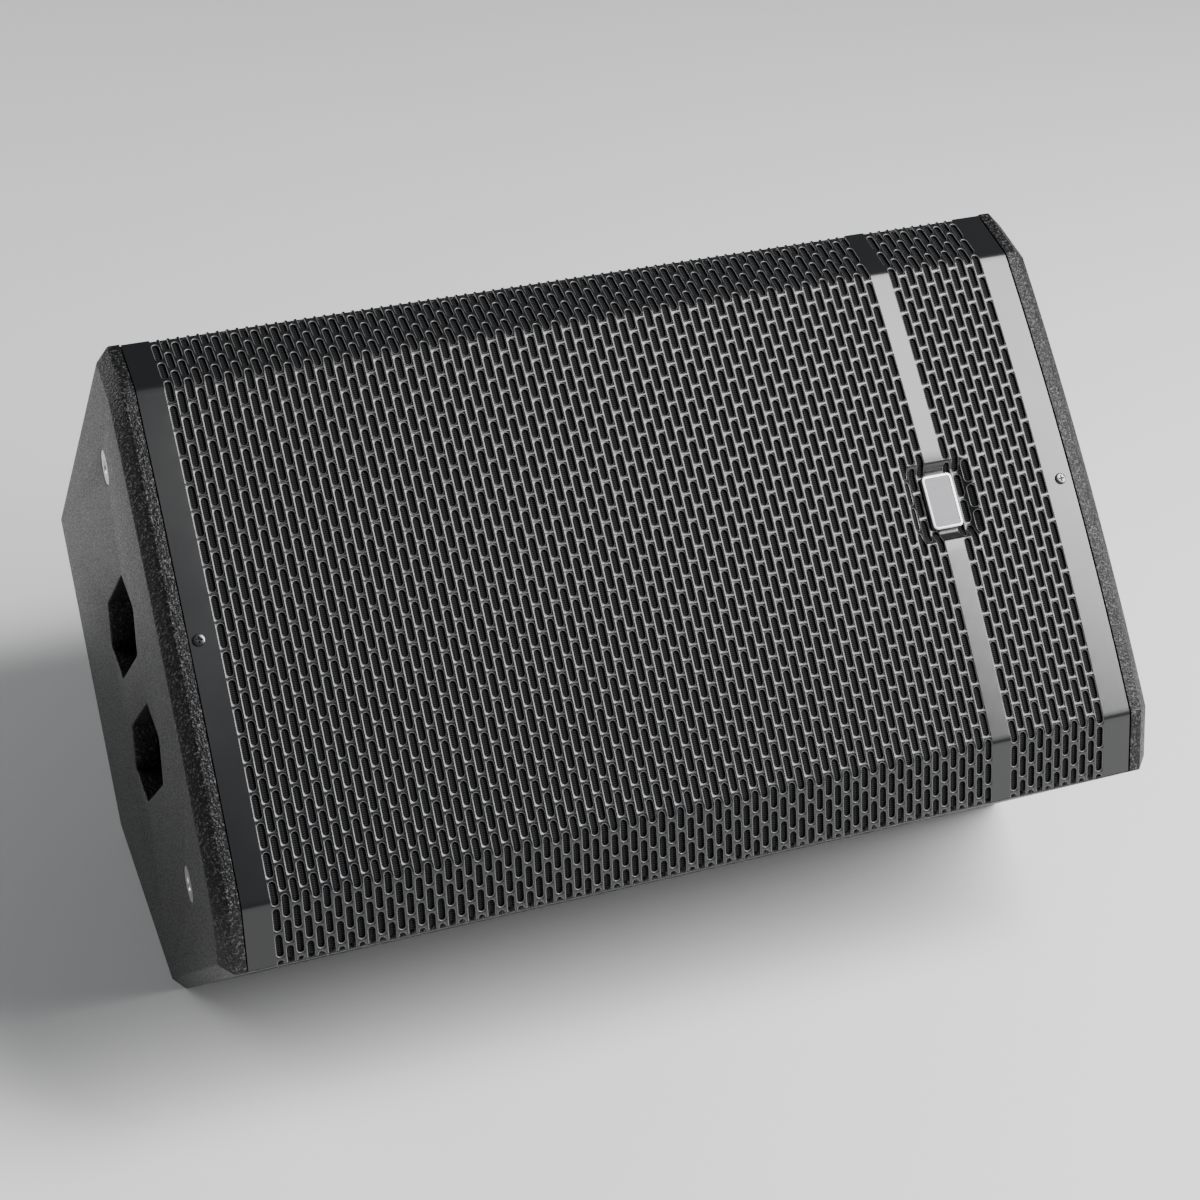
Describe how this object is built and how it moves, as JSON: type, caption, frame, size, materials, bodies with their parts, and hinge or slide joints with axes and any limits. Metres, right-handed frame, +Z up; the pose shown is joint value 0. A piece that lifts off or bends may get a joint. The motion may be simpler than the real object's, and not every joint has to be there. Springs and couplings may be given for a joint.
{
  "type": "pa speaker cabinet",
  "caption": "Passive two-way loudspeaker cabinet with a bent perforated steel front, wedge facet, finger-pocket grip, rigging points and pole socket.",
  "frame": {"origin": "middle of the 45 degree facet that the cabinet lies on", "axes": "+X along the cabinet from its top end to its base end, +Z up, the front faces -Y and up"},
  "size_m": [0.608, 0.4919, 0.4191],
  "materials": {
    "black_paint": "hard speckled structure paint over birch plywood",
    "bare_ply": "bare birch plywood",
    "grille_coat": "satin black powder coat on perforated steel",
    "cloth": "black ribbed acoustic cloth",
    "badge_metal": "satin blank badge",
    "zinc_steel": "zinc plated",
    "black_screw": "blackened steel",
    "black_steel": "black powder coat",
    "ferrite": "sintered ferrite",
    "paper": "pressed paper pulp",
    "copper": "enamelled copper wire",
    "treated_cloth": "doped cloth",
    "soft_rubber": "matte rubber",
    "moulded_plastic": "fine moulded grain",
    "foil": "thin formed foil",
    "circuit_board": "glass fibre board",
    "ceramic": "unglazed ceramic",
    "wadding": "polyester wadding"
  },
  "bodies": {
    "cabinet": {"end_panel_top": "black_paint", "end_panel_base": "black_paint", "upper_side": "black_paint", "back_panel": "black_paint", "facet_panel": "black_paint", "lower_side": "black_paint", "handle_cup_floor": "black_paint", "handle_cup_upper": "black_paint", "handle_cup_lower": "black_paint", "handle_cup_front": "black_paint", "handle_cup_rear": "black_paint", "front_baffle": "bare_ply", "baffle_battens": "bare_ply", "cross_brace": "bare_ply", "grille_blocks": "bare_ply", "grille": "grille_coat", "grille_cloth": "cloth", "badge": "badge_metal", "rigging_insert_upper": "zinc_steel", "rigging_insert_lower": "zinc_steel", "woofer_top_plate": "zinc_steel", "woofer_back_plate": "zinc_steel", "hf_front_plate": "zinc_steel", "hf_back_plate": "zinc_steel", "grille_screws": "black_screw", "woofer_screws": "black_screw", "horn_screws": "black_screw", "pole_socket_screws": "black_screw", "base_foot_screws": "black_screw", "connector_screws": "black_screw", "woofer_basket": "black_steel", "connector_plate": "black_steel", "pole_socket": "black_steel", "woofer_magnet": "ferrite", "hf_magnet": "ferrite", "crossover_coils": "copper", "woofer_surround": "treated_cloth", "woofer_spider": "treated_cloth", "base_feet": "soft_rubber", "woofer_gasket": "soft_rubber", "horn_flare": "moulded_plastic", "hf_rear_cover": "moulded_plastic", "hf_phase_plug": "moulded_plastic", "port_upper": "moulded_plastic", "port_lower": "moulded_plastic", "speaker_input": "moulded_plastic", "speaker_link": "moulded_plastic", "crossover_spacers": "moulded_plastic", "crossover_capacitors": "moulded_plastic", "crossover_board": "circuit_board", "crossover_resistors": "ceramic", "wadding_base": "wadding", "wadding_top": "wadding"},
    "woofer_drive": {"woofer_cone": "paper", "woofer_dust_cap": "paper", "woofer_voice_coil": "copper"},
    "hf_drive": {"hf_diaphragm": "foil"}
  },
  "joints": [
    {"name": "woofer_travel", "type": "slide", "parent": "cabinet", "child": "woofer_drive", "axis": [0, -0.7071, 0.7071], "range_m": [-0.006, 0.006], "stiffness_N_per_m": 5000, "deforming": ["woofer_surround", "woofer_spider"]},
    {"name": "hf_travel", "type": "slide", "parent": "cabinet", "child": "hf_drive", "axis": [0, -0.7071, 0.7071], "range_m": [-0.0004, 0.0004], "stiffness_N_per_m": 4000}
  ]
}
